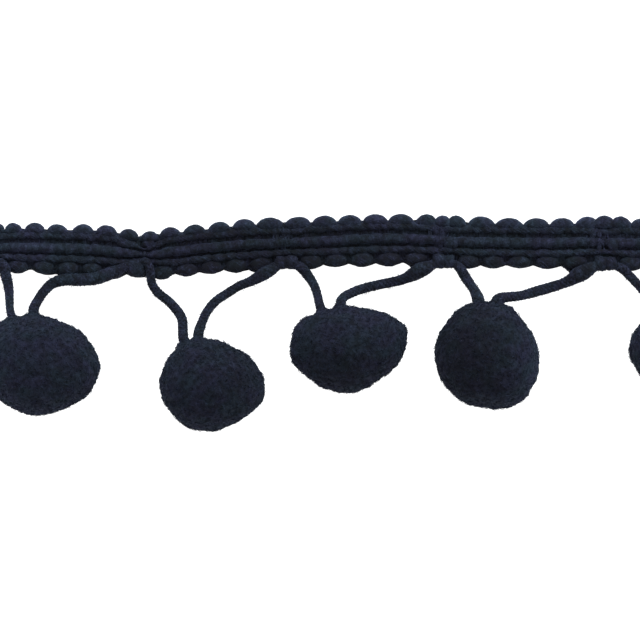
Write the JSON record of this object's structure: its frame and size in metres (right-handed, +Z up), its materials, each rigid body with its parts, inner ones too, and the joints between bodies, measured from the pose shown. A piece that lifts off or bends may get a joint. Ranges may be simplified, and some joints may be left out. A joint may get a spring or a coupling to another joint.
{
  "type": "pom pom trim",
  "caption": "Narrow beaded braid heading with round felted yarn balls hung along it on a looped cord; sewn or glued along an edge as a soft decorative border.",
  "frame": {"origin": "on the heading's flat back, at the middle of the cut length", "axes": "+X along the heading, +Y from the balls towards the heading, +Z up off the surface that the trim lies on"},
  "size_m": [0.172, 0.0435, 0.0191],
  "materials": {
    "heading_yarn": "matt soft navy yarn, beaded edges, fine filaments",
    "pompom_yarn": "felted navy yarn, dense short pile",
    "cord_yarn": "fine knitted navy cord, slightly fuzzy"
  },
  "bodies": {
    "root": {"heading": "heading_yarn", "pompom_1": "pompom_yarn", "pompom_2": "pompom_yarn", "pompom_3": "pompom_yarn", "pompom_4": "pompom_yarn", "pompom_5": "pompom_yarn", "cord_1": "cord_yarn", "cord_2": "cord_yarn", "cord_3": "cord_yarn", "cord_4": "cord_yarn", "cord_5": "cord_yarn", "cord_6": "cord_yarn"}
  },
  "joints": []
}
